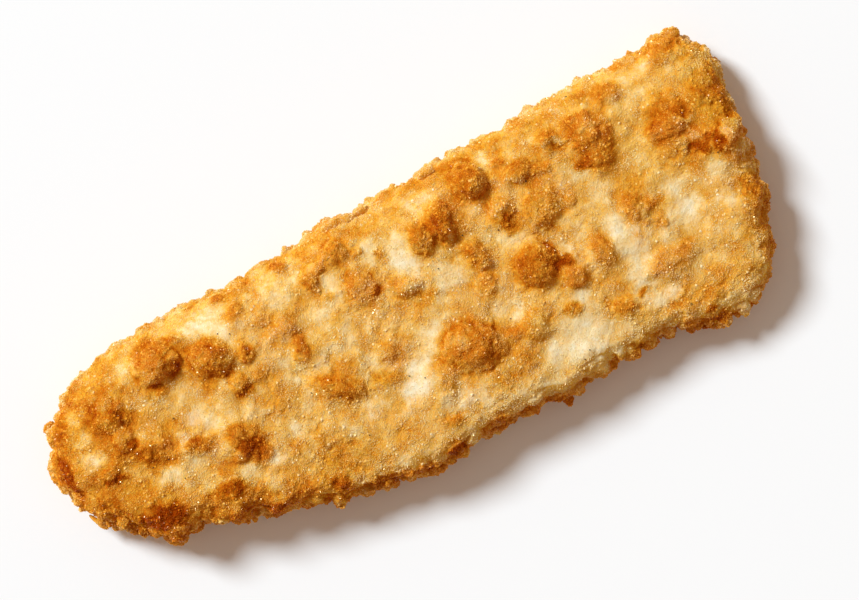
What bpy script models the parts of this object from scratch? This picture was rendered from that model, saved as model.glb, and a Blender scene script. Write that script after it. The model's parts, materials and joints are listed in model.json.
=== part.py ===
"""Fried breaded fish fillet, lying flat on its underside.

One piece of fish in a crumb crust, so one solid: a long tapered slab with a blunt, slanting wide end,
a rounded narrow end, soft shoulders, a flat underside and the larger crumb clumps as bumps.
The long way is X (wide end at +X), the flat underside is at Z = 0 and the origin is under its middle.
"""

import math

import bmesh
import bpy
import numpy as np
from mathutils import Vector, noise
from mathutils.geometry import delaunay_2d_cdt

MM = 0.001

# Driving sizes, in millimetres.
LENGTH = 165.0
WIDTH = 61.0
RIM_LEVEL = 0.4  # the level at which the fillet is widest, as a share of its thickness there
UNDER_ROUNDING = 4.5  # how far the underside's rounding reaches in from the rim
SHOULDER = 8.0  # how far the upper rounding reaches in, before SHOULDER_LEAN
SHOULDER_LEAN = 2.2  # wider on the +Y side, steeper on the -Y side
CROWN = 1.6  # fall of the upper face from the long middle line out to its sides
WAVE = 0.75  # height of the crust's slow unevenness
WAVE_LENGTH = 13.0

# Thickness of the crusted fish along X, before the clumps: (x, height).
THICKNESS = [(-82, 15.0), (-58, 16.4), (-25, 15.0), (12, 15.8), (42, 14.4), (64, 13.2), (82, 15.4)]

# The plan outline, counter-clockwise from the middle of the wide end, as a smooth closed curve.
OUTLINE = [
    (81.3, 13.0), (79.8, 25.0), (73.5, 29.9), (62.0, 29.8), (46.0, 29.6), (30.0, 28.7),
    (12.0, 27.8), (-8.0, 27.1), (-26.0, 26.2), (-44.0, 26.0), (-60.0, 25.0), (-70.5, 21.6),
    (-77.5, 14.5), (-80.0, 6.0), (-79.0, -2.5), (-74.0, -9.2), (-66.0, -14.5), (-54.0, -17.2),
    (-42.0, -22.0), (-28.0, -26.0), (-12.0, -28.3), (4.0, -27.8), (20.0, -27.6), (34.0, -27.3),
    (46.0, -26.3), (57.0, -28.8), (66.0, -28.6), (72.5, -23.5), (77.0, -13.0), (79.0, -3.0),
]

# Clumps that swell the rim outwards: (x, y, reach along the rim, push).
RIM_CLUMPS = [
    (-81.0, 6.5, 6.0, 1.9), (-78.0, 14.5, 4.5, 0.8), (-64.0, -16.5, 6.0, 2.6), (-51.5, -18.5, 5.5, 1.6),
    (-42.0, -22.5, 4.5, 1.0), (-30.0, -25.5, 4.5, 0.9), (-12.0, -29.0, 7.0, 1.4), (-3.5, -28.5, 5.0, 1.2),
    (22.0, -28.0, 4.5, 1.4), (59.0, -29.5, 6.0, 1.0), (78.5, -9.0, 5.5, 1.2), (81.0, 4.5, 5.0, 1.0),
    (81.5, 20.5, 4.0, 0.9), (75.0, 30.0, 5.0, 0.8), (-6.5, 27.5, 6.0, 1.1), (17.0, 28.2, 4.0, 0.7),
]

# Crumb clumps on the upper face: (x, y, half length, half width, turn in degrees, rise).
CLUMPS = [
    (-51.5, 18.0, 5.4, 4.6, 0, 3.0), (-40.8, 13.0, 5.4, 4.6, -15, 2.8), (-33.5, 11.2, 2.6, 2.6, 0, 1.5),
    (-45.8, 19.5, 2.4, 3.2, 0, 1.1), (-65.5, 12.5, 5.6, 3.6, -12, 1.5), (-65.0, 6.0, 4.6, 3.6, -30, 1.2),
    (-60.5, 2.8, 5.0, 2.8, 15, 1.2), (-70.0, 1.5, 4.0, 2.6, 10, 1.0), (-52.0, -1.5, 5.0, 2.8, 0, 1.1),
    (-43.0, -4.5, 5.0, 5.0, 30, 2.2), (-49.0, -13.0, 3.6, 4.4, 20, 1.2), (-38.0, 6.2, 3.4, 3.6, 0, 1.0),
    (-32.5, 18.5, 3.4, 3.4, 0, 0.9), (-7.6, 22.0, 3.4, 3.2, 0, 2.0), (-13.5, 19.2, 3.8, 2.6, 25, 1.3),
    (-5.5, 12.0, 4.4, 4.2, 0, 1.3), (-20.0, -4.5, 6.8, 3.2, -36, 1.8), (-24.5, 11.8, 4.4, 3.4, 0, 1.2),
    (-22.5, 5.0, 3.2, 3.8, 0, 0.9), (2.4, 7.4, 3.8, 2.8, -15, 1.5), (-7.0, -2.8, 4.0, 2.8, 0, 0.9),
    (9.5, 15.6, 2.8, 4.6, 0, 1.7), (15.0, 15.8, 3.8, 4.8, 0, 3.0), (24.6, 21.5, 4.2, 4.8, 0, 3.2),
    (18.6, 7.2, 2.7, 4.8, 8, 1.5), (27.6, 12.2, 3.4, 3.8, 0, 2.0), (34.0, 8.8, 4.8, 4.6, 0, 1.5),
    (28.6, -1.0, 5.2, 5.6, 0, 2.3), (35.0, -6.0, 3.6, 3.0, 0, 1.6), (9.0, -9.6, 7.2, 5.8, -20, 2.6),
    (-0.5, -13.5, 3.4, 4.6, 0, 1.1), (22.6, -12.0, 4.2, 3.6, 0, 1.3), (43.0, 21.0, 2.8, 2.8, 0, 1.9),
    (33.4, 18.4, 3.8, 3.4, 0, 1.4), (50.6, 19.5, 4.6, 5.4, 0, 2.1), (51.0, 12.8, 4.2, 2.6, 0, 1.3),
    (58.4, 24.4, 3.4, 3.0, 0, 1.2), (68.5, 17.0, 5.0, 2.2, -30, 1.3), (66.6, 12.2, 6.2, 3.8, 0, 2.0),
    (77.4, 4.2, 3.8, 4.4, 0, 1.8), (52.2, -0.6, 2.8, 3.2, 0, 1.1), (42.2, -5.2, 3.2, 3.4, 0, 1.4),
    (54.5, -14.0, 6.6, 3.8, 0, 1.4), (42.0, -17.6, 4.0, 3.2, 0, 0.9), (73.0, 26.6, 4.2, 2.8, 0, 1.1),
]

# How finely the surface is divided.
AROUND = 184
UNDER_REACH = [4.4, 3.6, 2.0, 0.7]  # how far in from the rim the underside's rings lie
UPPER_REACH = [0.0, 0.4, 1.2, 2.5, 4.2]  # and those of the upper rounding
FACE_STEP = 2.4  # spacing of the points of the upper face
SPINE_END = 21.0  # how far the long middle line stops short of the rim's two ends
SPINE_STEP = 8.0  # the stretch of rim that each of its points is the middle of
SHARP_ANGLE = 50.0  # edges over this many degrees are shaded sharp


def clear_scene():
    for thing in list(bpy.data.objects):
        bpy.data.objects.remove(thing, do_unlink=True)


def smooth_loop(corners, steps=12):
    """A closed Catmull-Rom curve through the corners, with `steps` points on each stretch."""
    corners = np.array(corners, float)
    before, after, beyond = (np.roll(corners, shift, axis=0) for shift in (1, -1, -2))
    t = (np.arange(steps) / steps)[None, :, None]
    p0, p1, p2, p3 = (c[:, None, :] for c in (before, corners, after, beyond))
    curve = 0.5 * (
        2 * p1
        + (p2 - p0) * t
        + (2 * p0 - 5 * p1 + 4 * p2 - p3) * t**2
        + (3 * p1 - p0 - 3 * p2 + p3) * t**3
    )
    return curve.reshape(-1, 2)


def evenly_spaced(loop, count):
    """`count` points at equal distances along a closed loop."""
    closed = np.vstack([loop, loop[:1]])
    along = np.concatenate([[0], np.cumsum(np.linalg.norm(np.diff(closed, axis=0), axis=1))])
    at = np.linspace(0, along[-1], count, endpoint=False)
    return np.stack([np.interp(at, along, closed[:, k]) for k in (0, 1)], axis=1)


def outward_normals(loop):
    ahead = np.roll(loop, -1, axis=0) - np.roll(loop, 1, axis=0)
    sideways = np.stack([ahead[:, 1], -ahead[:, 0]], axis=1)
    return sideways / np.linalg.norm(sideways, axis=1)[:, None]


def with_rim_clumps(loop):
    """The outline pushed out where a clump of crumbs swells the rim."""
    push = np.zeros(len(loop))
    for x, y, reach, out in RIM_CLUMPS:
        away = np.hypot(loop[:, 0] - x, loop[:, 1] - y) / reach
        push = np.maximum(push, out * np.clip(1 - away**2, 0, 1) ** 1.5)
    return loop + outward_normals(loop) * push[:, None]


def fitted(loop):
    """The outline centred on the origin and brought to LENGTH by WIDTH."""
    low, high = loop.min(axis=0), loop.max(axis=0)
    return (loop - (low + high) / 2) * (np.array([LENGTH, WIDTH]) / (high - low))


def towards_middle(rim):
    """For each rim point, the direction to its nearest point on the long middle line."""
    xs = np.clip(rim[:, 0], rim[:, 0].min() + SPINE_END, rim[:, 0].max() - SPINE_END)
    stations = np.arange(xs.min(), xs.max() + SPINE_STEP / 2, SPINE_STEP)
    near = [np.abs(rim[:, 0] - x) < SPINE_STEP / 2 for x in stations]
    middles = [(rim[n, 1].max() + rim[n, 1].min()) / 2 for n in near]
    way = np.stack([xs, np.interp(xs, stations, middles)], axis=1) - rim
    return way / np.linalg.norm(way, axis=1)[:, None]


def distance_in(points, rim):
    """How far each point lies from the rim's outline."""
    start, step = rim, np.roll(rim, -1, axis=0) - rim
    offset = points[:, None, :] - start[None]
    share = np.clip((offset * step).sum(-1) / (step**2).sum(-1), 0, 1)
    return np.linalg.norm(offset - share[..., None] * step, axis=-1).min(axis=1)


def clump_rise(points):
    """Height that the crumb clumps add at each point: rounded domes, the highest one winning."""
    rise = np.zeros(len(points))
    for x, y, long, wide, turn, height in CLUMPS:
        c, s = math.cos(math.radians(turn)), math.sin(math.radians(turn))
        dx, dy = points[:, 0] - x, points[:, 1] - y
        away = ((dx * c + dy * s) / long) ** 2 + ((dy * c - dx * s) / wide) ** 2
        rise = np.maximum(rise, height * np.clip(1 - away, 0, 1) ** 0.8)
    return rise


def waves(points):
    """Slow unevenness of the crust, from smooth noise."""
    return np.array([noise.noise(Vector((x, y, 0)) / WAVE_LENGTH) for x, y in points])


def thickness(points):
    return np.interp(points[:, 0], *zip(*THICKNESS))


def upper_height(points, rim, lean):
    """Height of the upper surface: up over the shoulder, then the crowned and clumped face."""
    nearest = np.linalg.norm(points[:, None, :] - rim[None], axis=-1).argmin(axis=1)
    shoulder = SHOULDER + SHOULDER_LEAN * lean[nearest]
    share = np.clip(distance_in(points, rim) / shoulder, 0, 1)
    rounding = np.sqrt(1 - (1 - share) ** 2)
    widest = RIM_LEVEL * thickness(points)
    top = thickness(points) - CROWN * (points[:, 1] / (WIDTH / 2)) ** 2 + WAVE * waves(points)
    return widest + (top - widest) * rounding + clump_rise(points) * np.sqrt(share)


def under_height(rim, reach):
    """Height of the underside's round lower edge, this far in from each point of the rim."""
    share = 1 - math.sqrt(1 - (1 - reach / UNDER_ROUNDING) ** 2)
    return RIM_LEVEL * thickness(rim) * share


def face_points(edge):
    """Points in even staggered rows inside the last ring of the upper rounding."""
    rise = FACE_STEP * math.sqrt(3) / 2
    rows = np.arange(-WIDTH / 2, WIDTH / 2, rise)
    columns = np.arange(-LENGTH / 2, LENGTH / 2, FACE_STEP)
    points = np.array([(x + FACE_STEP / 2 * (k % 2), y) for k, y in enumerate(rows) for x in columns])
    after = np.roll(edge, -1, axis=0)
    crossed = (edge[:, 1] > points[:, None, 1]) != (after[:, 1] > points[:, None, 1])
    run, climb = (after - edge).T
    share = (points[:, None, 1] - edge[:, 1]) / np.where(climb == 0, 1, climb)
    inside = (crossed & (points[:, None, 0] < edge[:, 0] + share * run)).sum(axis=1) % 2 == 1
    return points[inside & (distance_in(points, edge) > FACE_STEP / 2)]


def ring_of(mesh, points, heights):
    corners = np.column_stack([points, heights]) * MM
    return [mesh.verts.new(corner) for corner in corners]


def bridge(mesh, lower, upper):
    """A band of four-sided faces between two rings, facing out when the rings run counter-clockwise."""
    for i in range(len(lower)):
        j = (i + 1) % len(lower)
        mesh.faces.new((lower[i], lower[j], upper[j], upper[i]))


def fillet_mesh():
    """The whole skin as one closed mesh: the flat base, the rounded sides and the clumped face."""
    rim = fitted(evenly_spaced(with_rim_clumps(smooth_loop(OUTLINE)), AROUND))
    inward = towards_middle(rim)
    lean = outward_normals(rim)[:, 1]
    mesh = bmesh.new()

    # The underside: a flat base, then rings out to the rim.
    rings = []
    for reach in UNDER_REACH:
        height = under_height(rim, reach) if reach < UNDER_REACH[0] else np.zeros(AROUND)
        rings.append(ring_of(mesh, rim + inward * reach, height))
    mesh.faces.new(rings[0][::-1])

    # The upper rounding: rings from the rim in over the shoulder.
    for reach in UPPER_REACH:
        edge = rim + inward * reach
        rings.append(ring_of(mesh, edge, upper_height(edge, rim, lean)))
    for lower, higher in zip(rings, rings[1:]):
        bridge(mesh, lower, higher)

    # The upper face, as triangles between the last ring and the rows of points inside it.
    face = face_points(edge)
    inner = ring_of(mesh, face, upper_height(face, rim, lean))
    corners = [Vector(point) for point in np.vstack([edge, face])]
    triangles = delaunay_2d_cdt(corners, [], [list(range(AROUND))], 1, 1e-5)[2]
    placed = rings[-1] + inner
    for triangle in triangles:
        mesh.faces.new([placed[i] for i in triangle])
    return mesh


def crumb_material():
    material = bpy.data.materials.new("fried_crumb_crust")
    material.use_nodes = True
    shader = material.node_tree.nodes["Principled BSDF"]
    shader.inputs["Base Color"].default_value = (0.62, 0.30, 0.065, 1.0)
    shader.inputs["Roughness"].default_value = 0.5
    shader.inputs["Metallic"].default_value = 0.0
    return material


def build_fillet():
    mesh = fillet_mesh()
    data = bpy.data.meshes.new("fillet")
    mesh.to_mesh(data)
    mesh.free()
    fillet = bpy.data.objects.new("fillet", data)
    data.materials.append(crumb_material())
    bpy.context.scene.collection.objects.link(fillet)
    data.shade_smooth()
    data.set_sharp_from_angle(angle=math.radians(SHARP_ANGLE))


clear_scene()
build_fillet()
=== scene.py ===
"""Looks of a fried fish fillet in breadcrumbs: its crust, the crumbs on it, and a plain studio round it.

Metres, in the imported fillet's own frame: X is the long way with the wide end at +X, and the underside lies at
Z = 0. Places on the fillet are given in its own millimetres, from under its middle.
"""

import json
import math

import bpy
import numpy as np
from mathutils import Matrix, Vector, noise

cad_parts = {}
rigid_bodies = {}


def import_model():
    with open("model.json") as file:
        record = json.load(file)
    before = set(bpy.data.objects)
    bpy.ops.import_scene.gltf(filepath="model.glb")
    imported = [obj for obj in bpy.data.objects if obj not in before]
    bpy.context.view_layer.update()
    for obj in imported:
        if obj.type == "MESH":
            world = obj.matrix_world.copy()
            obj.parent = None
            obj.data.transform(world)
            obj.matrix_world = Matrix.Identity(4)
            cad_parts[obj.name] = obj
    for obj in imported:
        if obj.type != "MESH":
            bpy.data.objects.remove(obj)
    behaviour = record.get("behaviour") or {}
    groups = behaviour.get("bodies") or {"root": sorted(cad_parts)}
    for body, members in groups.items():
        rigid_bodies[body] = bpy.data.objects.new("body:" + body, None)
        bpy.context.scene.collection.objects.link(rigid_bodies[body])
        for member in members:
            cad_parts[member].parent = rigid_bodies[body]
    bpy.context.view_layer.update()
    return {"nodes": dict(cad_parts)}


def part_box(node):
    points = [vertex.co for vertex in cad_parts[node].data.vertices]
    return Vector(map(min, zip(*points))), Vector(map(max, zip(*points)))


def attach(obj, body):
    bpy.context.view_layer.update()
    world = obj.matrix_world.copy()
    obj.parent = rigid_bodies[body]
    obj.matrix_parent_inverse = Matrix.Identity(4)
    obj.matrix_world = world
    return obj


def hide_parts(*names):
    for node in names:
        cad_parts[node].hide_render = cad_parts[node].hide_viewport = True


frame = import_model()
LOW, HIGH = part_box("fillet")

MM = (HIGH[0] - LOW[0]) / 165.0  # the fillet's own millimetre
GRAIN = 0.45 * MM  # spacing of the crust's points
UNDER_SHARE = 0.2  # share of the faces kept underneath, where nothing stands out

# ---------------------------------------------------------------- what shows on the crust, in millimetres

# How brown the frying left each kind of patch, from pale batter to dark crumb.
WHITE, CREAM, PALE, AMBER, TAN, BROWN, DARK = 0.02, 0.16, 0.24, 0.46, 0.54, 0.64, 0.8

# Patches, the broad ones first: x, y, half length, half width, turn in degrees, tone, redness, rise.
# Redness runs from -1, olive, to 1, a pinkish brown.
# Some dark patches paint shade: on the lower sides of lumps, in notches, and in the gaps between lumps.
PATCHES = [
    # broad areas
    (-70, 2, 14, 22, 0, 0.47, 0.0, 0.0), (0, 25.5, 62, 3.4, 2, 0.33, 0.0, 0.0),
    (64, 12, 16, 10, 0, 0.42, -0.3, 0.0), (57.5, -21.5, 8, 4.5, 0, AMBER, 0.0, 0.1),
    (76, -9.5, 2.6, 6, -8, 0.48, 0.0, 0.2), (58, 12.5, 4.6, 7.6, 0, 0.30, -0.4, 0.0),
    (20, -27.5, 60, 2.2, -1, 0.2, 0.0, 0.0), (-46, -18.5, 27, 3.8, -16, 0.48, 0.1, 0.0),
    # narrow end
    (-80.5, 6.8, 1.9, 3.2, 0, 0.59, 0.25, 0.3), (-78.5, 5, 1.2, 4.6, 0, 0.96, 0.3, -0.2),
    (-76, 13, 2.2, 5.5, -20, 0.52, 0.1, 0.2), (-77.3, 15, 2.2, 2.0, 0, 0.56, 0.25, 0.6),
    (-72, 15.5, 2.0, 2.4, 0, PALE, 0.0, 0.1), (-72.3, 10, 1.8, 1.6, 0, PALE, 0.0, 0.1),
    (-71.8, 5.5, 2.4, 1.5, 0, CREAM, 0.0, 0.1), (-66, 11.5, 3.4, 2.4, -10, BROWN, 0.0, 0.7),
    (-64.3, 6.8, 2.6, 3.0, 0, 0.59, 0.2, 0.6), (-63, 4.6, 1.6, 1.0, 0, DARK, 0.2, -0.1),
    (-62, 13.6, 1.6, 1.3, 0, AMBER, 0.5, 0.3), (-65, 14.8, 1.8, 1.2, 0, AMBER, 0.0, 0.3),
    (-61, 2.5, 2.4, 1.8, 0, TAN, 0.1, 0.4), (-57.5, 2, 2.2, 1.9, 0, 0.5, 0.5, 0.4),
    (-60, -0.5, 2.6, 1.8, 0, TAN, -0.5, 0.0), (-70, 1.2, 2.4, 1.4, 10, TAN, 0.1, 0.5),
    (-69.5, -0.6, 2.4, 0.7, 0, DARK, 0.1, -0.3), (-73.5, -3.5, 3.0, 2.2, 0, 0.56, 0.0, 0.1),
    # (-49, 15.4) paints shade on the lower right of the lump beside it.
    (-51.8, 18, 4.6, 4.3, 0, 0.56, 0.2, 1.4), (-49, 15.4, 2.2, 1.5, -40, 0.64, 0.1, 0.0),
    (-45.8, 20.3, 1.7, 1.6, 0, 0.55, 0.25, 0.6), (-45.3, 17.8, 1.9, 1.5, 0, 0.44, -0.4, 0.0),
    # (-39.4, 9.6) paints shade on the lower side of the lump beside it.
    (-40.8, 13.2, 4.4, 4.0, -15, TAN, 0.1, 1.4), (-39.4, 9.6, 2.6, 1.2, 0, 0.64, 0.1, 0.0),
    (-33.5, 11, 1.9, 1.9, 0, 0.74, 0.5, 0.8), (-40.5, 21, 3.9, 2.5, -5, WHITE, 0.0, 0.0),
    (-36.3, 17, 1.6, 3.4, 30, 0.04, 0.0, 0.0), (-34, 23.5, 1.8, 1.5, 0, 0.6, 0.25, 0.3),
    (-47.5, 23, 2.6, 1.4, 0, 0.14, 0.0, 0.0), (-58, 20, 3.0, 2.0, 20, 0.08, 0.0, 0.0),
    (-59, 12.5, 2.0, 2.0, 0, PALE, 0.0, 0.0), (-50, 8.6, 3.6, 1.8, 5, 0.25, 0.0, 0.0),
    (-43.5, 8, 2.0, 1.4, 0, 0.5, -0.2, 0.0), (-53.5, 12, 2.2, 1.8, 0, TAN, -0.5, 0.0),
    (-38, 6, 2.2, 2.0, 0, 0.52, 0.25, 0.6), (-37, 3.5, 2.0, 1.3, 0, BROWN, 0.0, 0.0),
    (-33, 5.5, 1.9, 1.8, 0, AMBER, 0.0, 0.3), (-53, 1, 1.8, 1.4, 0, PALE, 0.4, 0.1),
    (-50, 4, 1.8, 1.4, 0, PALE, 0.4, 0.1), (-51, -2, 3.2, 2.0, 0, 0.59, 0.0, 0.1),
    (-58.5, -5, 3.8, 2.2, 0, 0.2, 0.0, 0.0), (-63, -8, 2.7, 2.4, 0, 0.56, -0.4, 0.3),
    # (-64.5, -12) paints the shade in a deep notch.
    (-64.5, -12, 5.2, 2.8, -10, 0.98, 0.2, -0.2), (-63.5, -16.4, 2.6, 2.4, 0, TAN, 0.1, 0.6),
    (-41, -8, 3.0, 3.4, 20, 0.8, 0.5, 0.2), (-43, -4, 2.2, 2.0, 0, 0.52, 0.25, 0.8),
    (-45, -8, 1.6, 1.6, 0, 0.42, 0.25, 0.3), (-48.5, -8, 1.9, 2.1, 0, 0.46, 0.0, 0.0),
    (-57, -9, 2.3, 1.7, 0, PALE, 0.0, 0.0), (-52.5, -8, 2.0, 1.8, 0, 0.33, 0.0, 0.0),
    (-49.5, -13, 3.6, 2.3, -10, 0.74, -0.4, 0.2), (-47, -16, 1.9, 1.7, 0, 0.52, 0.25, 0.3),
    (-38, -11.5, 1.8, 1.7, 0, 0.05, 0.0, 0.0), (-31.5, -8, 2.0, 1.8, 0, CREAM, 0.0, 0.0),
    (-33, -12, 2.1, 2.0, 0, AMBER, 0.0, 0.3), (-32.5, -2.5, 2.0, 1.8, 0, AMBER, 0.0, 0.3),
    (-28.5, 15.8, 2.8, 1.9, 0, 0.48, 0.1, 0.5), (-32, 20, 2.0, 1.8, 0, 0.56, 0.25, 0.4),
    (-51, -18.4, 1.9, 1.6, 0, TAN, 0.0, 0.4), (-47.5, -20.3, 1.6, 1.3, 0, PALE, 0.0, 0.2),
    (-42.5, -21.4, 1.8, 1.4, 0, 0.8, 0.25, 0.3), (-34.5, -23.4, 1.8, 1.4, 0, TAN, 0.0, 0.4),
    (-29.5, -25.2, 1.8, 1.5, 0, TAN, 0.0, 0.4), (-29, -22, 1.9, 1.6, 0, 0.8, 0.0, 0.0),
    # middle
    (-6.5, 27.9, 1.3, 1.1, 0, 0.46, 0.25, 0.5), (-3.4, 27.9, 1.2, 1.0, 0, 0.46, 0.25, 0.5),
    (2, 27.5, 1.4, 1.1, 0, 0.46, 0.25, 0.4), (7, 27.5, 1.4, 1.1, 0, 0.46, 0.25, 0.4),
    (17, 28.9, 1.3, 1.0, 0, 0.46, 0.25, 0.4), (-19, 24, 2.0, 1.8, 0, 0.56, 0.25, 0.5),
    (-22, 22.8, 1.5, 1.4, 0, 0.2, 0.0, 0.0), (-16, 23.2, 1.7, 1.4, 0, 0.12, 0.0, 0.0),
    (-15, 17.8, 1.8, 2.2, 0, 0.58, 0.2, 0.9), (-12.5, 20, 2.2, 1.7, 25, 0.42, 0.6, 0.8),
    (-8, 21.6, 2.9, 2.5, 0, 0.59, 0.2, 1.1), (-24.5, 11.6, 3.7, 2.3, 0, 0.36, 0.5, 0.6),
    (-23, 6.5, 1.7, 3.6, 0, 0.66, 0.5, 0.4), (-10, 16, 2.0, 1.6, 0, 0.18, 0.1, 0.0),
    (-14, 11, 2.2, 1.8, 0, 0.2, 0.0, 0.0), (-13, 13.2, 1.5, 1.2, 0, 0.46, -0.5, 0.0),
    (-5.8, 11.6, 3.6, 3.8, 0, 0.46, 0.6, 0.6), (-3.4, 9.4, 1.5, 1.4, 0, 0.64, 0.5, -0.1),
    (-1.2, 17.5, 3.6, 1.2, 55, 0.16, 0.0, 0.0), (-3.2, 18.6, 1.2, 1.0, 0, 0.59, 0.25, 0.3),
    (0.6, 16, 1.1, 1.3, 0, 0.59, 0.25, 0.3), (5, 14, 3.0, 4.9, 0, 0.05, 0.0, 0.0),
    # (5, 3.6) paints shade, olive, below the lump beside it.
    (2.6, 7.4, 3.5, 1.9, -12, 0.28, 0.0, 0.6), (5, 3.6, 2.4, 1.6, 0, 0.52, -0.5, -0.2),
    (12, 7, 4.2, 3.2, 0, 0.1, 0.0, 0.0), (9.7, 15.2, 2.1, 3.9, 5, 0.56, 0.1, 1.0),
    (14.9, 15.6, 2.8, 4.3, 0, 0.56, 0.1, 1.5), (16.4, 12.3, 1.5, 1.2, 0, 0.26, 0.1, 0.0),
    # (26.6, 19.6) paints shade on the lower right of the tall lump beside it.
    (24.3, 21.6, 3.8, 4.4, 0, 0.6, 0.1, 1.7), (26.6, 19.6, 1.5, 1.8, 0, 0.44, 0.0, 0.0),
    (28.7, 23.6, 1.3, 2.4, 0, 0.0, 0.0, 0.0), (18.5, 7.2, 2.0, 3.9, 5, TAN, 0.1, 0.8),
    # (28, 8.8) paints shade, olive brown, below the lobe beside it.
    (27, 12.8, 2.2, 2.5, 0, 0.4, 0.25, 1.0), (28, 8.8, 2.3, 1.8, 0, 0.58, -0.3, -0.2),
    (17.5, 0.5, 2.8, 2.1, 0, 0.48, 0.2, 0.5), (28.4, -1.2, 4.5, 4.4, 0, 0.58, 0.1, 1.0),
    # (32.6, -1) paints shade along the steep right edge of the brown block.
    (32.6, -1, 0.8, 3.8, 0, 0.62, 0.0, 0.0), (-19.8, -4.5, 5.8, 2.1, -39, TAN, 0.0, 0.9),
    (-16.5, -1.5, 2.0, 1.8, 0, 0.36, 0.0, 0.0), (-10, -7.5, 5.2, 1.7, -10, 0.5, -0.5, 0.1),
    (-7.5, -3, 2.3, 1.9, 0, 0.42, 0.2, 0.4), (-6, -13, 3.7, 2.7, -10, 0.0, 0.3, 0.0),
    (-2.5, -8.3, 2.9, 1.4, 0, 0.08, 0.0, 0.0), (2.5, -2.5, 2.0, 1.8, 0, CREAM, 0.0, 0.1),
    # (11, -12.8) paints shade on the lower right of the lump beside it.
    (9, -10, 6.4, 5.2, -20, 0.55, 0.25, 1.2), (11, -12.8, 3.3, 2.1, -10, 0.59, 0.1, 0.0),
    (7, -8, 2.3, 2.0, 0, 0.46, 0.25, 0.3), (1, -13.5, 2.0, 3.7, 0, AMBER, 0.0, 0.3),
    (15, -17.5, 5.3, 2.5, -5, 0.42, -0.1, 0.2), (18, -12, 1.8, 1.5, 0, 0.56, 0.25, 0.5),
    (21.5, -6, 2.6, 3.1, 0, 0.14, 0.0, 0.0), (23, -12.6, 3.1, 2.9, 0, 0.4, -0.1, 0.6),
    (8, -22, 4.4, 2.0, 5, 0.22, 0.0, 0.0), (-2.5, -22, 2.6, 2.1, 0, 0.56, 0.25, 0.3),
    (-15, -12, 3.3, 2.8, 0, PALE, 0.0, 0.1), (-20, -17, 2.8, 2.4, 0, 0.0, -0.2, 0.0),
    (-10, -17, 2.3, 1.9, 0, 0.26, 0.5, 0.1), (-27, -6, 2.5, 2.4, 0, 0.22, 0.0, 0.0),
    (-27, -12, 3.0, 3.1, 0, AMBER, 0.0, 0.3), (-28, -23, 2.2, 1.9, 0, 0.8, 0.25, 0.2),
    (-17, -27.7, 8, 1.5, -12, 0.54, 0.0, 0.0), (-11.5, -28.4, 3.4, 1.3, 0, 0.56, 0.25, 0.4),
    (-3.5, -28, 2.1, 1.7, 0, 0.82, 0.25, 0.3), (7, -27, 1.8, 1.6, 0, 0.6, 0.25, 0.3),
    # wide end
    (40, 26, 1.5, 1.4, 0, AMBER, 0.0, 0.2), (47, 26.5, 1.5, 1.4, 0, 0.16, 0.0, 0.1),
    (52, 26.5, 1.4, 1.3, 0, AMBER, 0.0, 0.2), (63, 28.5, 1.4, 1.2, 0, AMBER, 0.0, 0.3),
    (72, 27, 3.2, 2.8, 0, 0.52, 0.25, 0.4), (74.5, 28.6, 2.1, 1.8, 0, AMBER, 0.0, 0.6),
    (31.5, 22, 1.5, 1.3, 0, 0.59, 0.25, 0.5), (34, 18, 3.2, 2.2, 0, 0.46, 0.1, 0.6),
    (42.5, 21.5, 1.8, 1.8, 0, 0.56, 0.25, 1.0), (43.6, 19, 1.7, 1.3, 0, TAN, -0.5, -0.1),
    (38.5, 16.5, 1.7, 1.5, 0, TAN, 0.0, 0.5), (48.5, 23, 1.8, 1.5, 0, 0.55, 0.25, 0.5),
    (52, 22.5, 1.6, 1.4, 0, 0.55, 0.25, 0.4), (58.5, 24.3, 2.8, 2.3, 0, 0.52, 0.25, 0.4),
    (50.5, 16, 4.9, 4.3, 0, 0.6, 0.1, 0.9), (47, 13, 1.7, 1.4, 0, 0.8, 0.2, -0.1),
    (54, 17, 1.4, 1.3, 0, 0.62, 0.2, 0.0), (34.5, 9.5, 4.8, 4.5, 0, 0.53, 0.1, 0.7),
    (40.5, 8, 1.8, 1.6, 0, AMBER, 0.0, 0.4), (48, 7.5, 3.2, 2.6, 0, 0.26, 0.1, 0.0),
    (67.5, 12.2, 4.8, 3.1, 0, 0.45, 0.2, 0.8), (69, 15, 4.4, 1.0, -45, 0.55, 0.2, 0.3),
    (67, 18.3, 1.6, 1.3, 0, DARK, 0.0, 0.4), (71.2, 6.8, 3.0, 2.3, 0, 0.88, 0.5, 0.2),
    (66, 8, 3.8, 2.0, 0, AMBER, 0.0, 0.6), (77.6, 4, 3.4, 4.0, 0, 0.3, 0.1, 0.8),
    (76, 13, 3.8, 5.2, 0, 0.46, -0.9, 0.0), (67.5, 20.8, 5.6, 3.3, -5, 0.33, -0.1, 0.0),
    (61.5, 0.5, 3.6, 1.7, 0, CREAM, 0.0, 0.0), (62.5, -4.5, 3.7, 1.8, 0, 0.03, 0.0, 0.0),
    (52, 0.8, 2.5, 2.9, 0, 0.56, 0.25, 0.5), (56, -0.5, 1.6, 1.5, 0, 0.52, 0.25, 0.3),
    (53, -3.6, 1.5, 1.3, 0, 0.52, 0.25, 0.3), (56.2, -4.6, 1.7, 1.5, 0, 0.52, 0.25, 0.3),
    (46.8, -0.8, 3.2, 4.8, 0, 0.06, 0.0, 0.0), (42.2, -4, 2.1, 4.1, 0, 0.52, 0.25, 0.5),
    (40, 1.2, 1.9, 1.8, 0, 0.15, 0.0, 0.0), (34.6, -3, 1.6, 1.5, 0, 0.84, 0.2, 0.0),
    (34.6, -7, 2.3, 2.0, 0, TAN, 0.5, 0.5), (31.5, -12.4, 1.9, 1.5, 0, 0.76, -0.5, -0.4),
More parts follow.
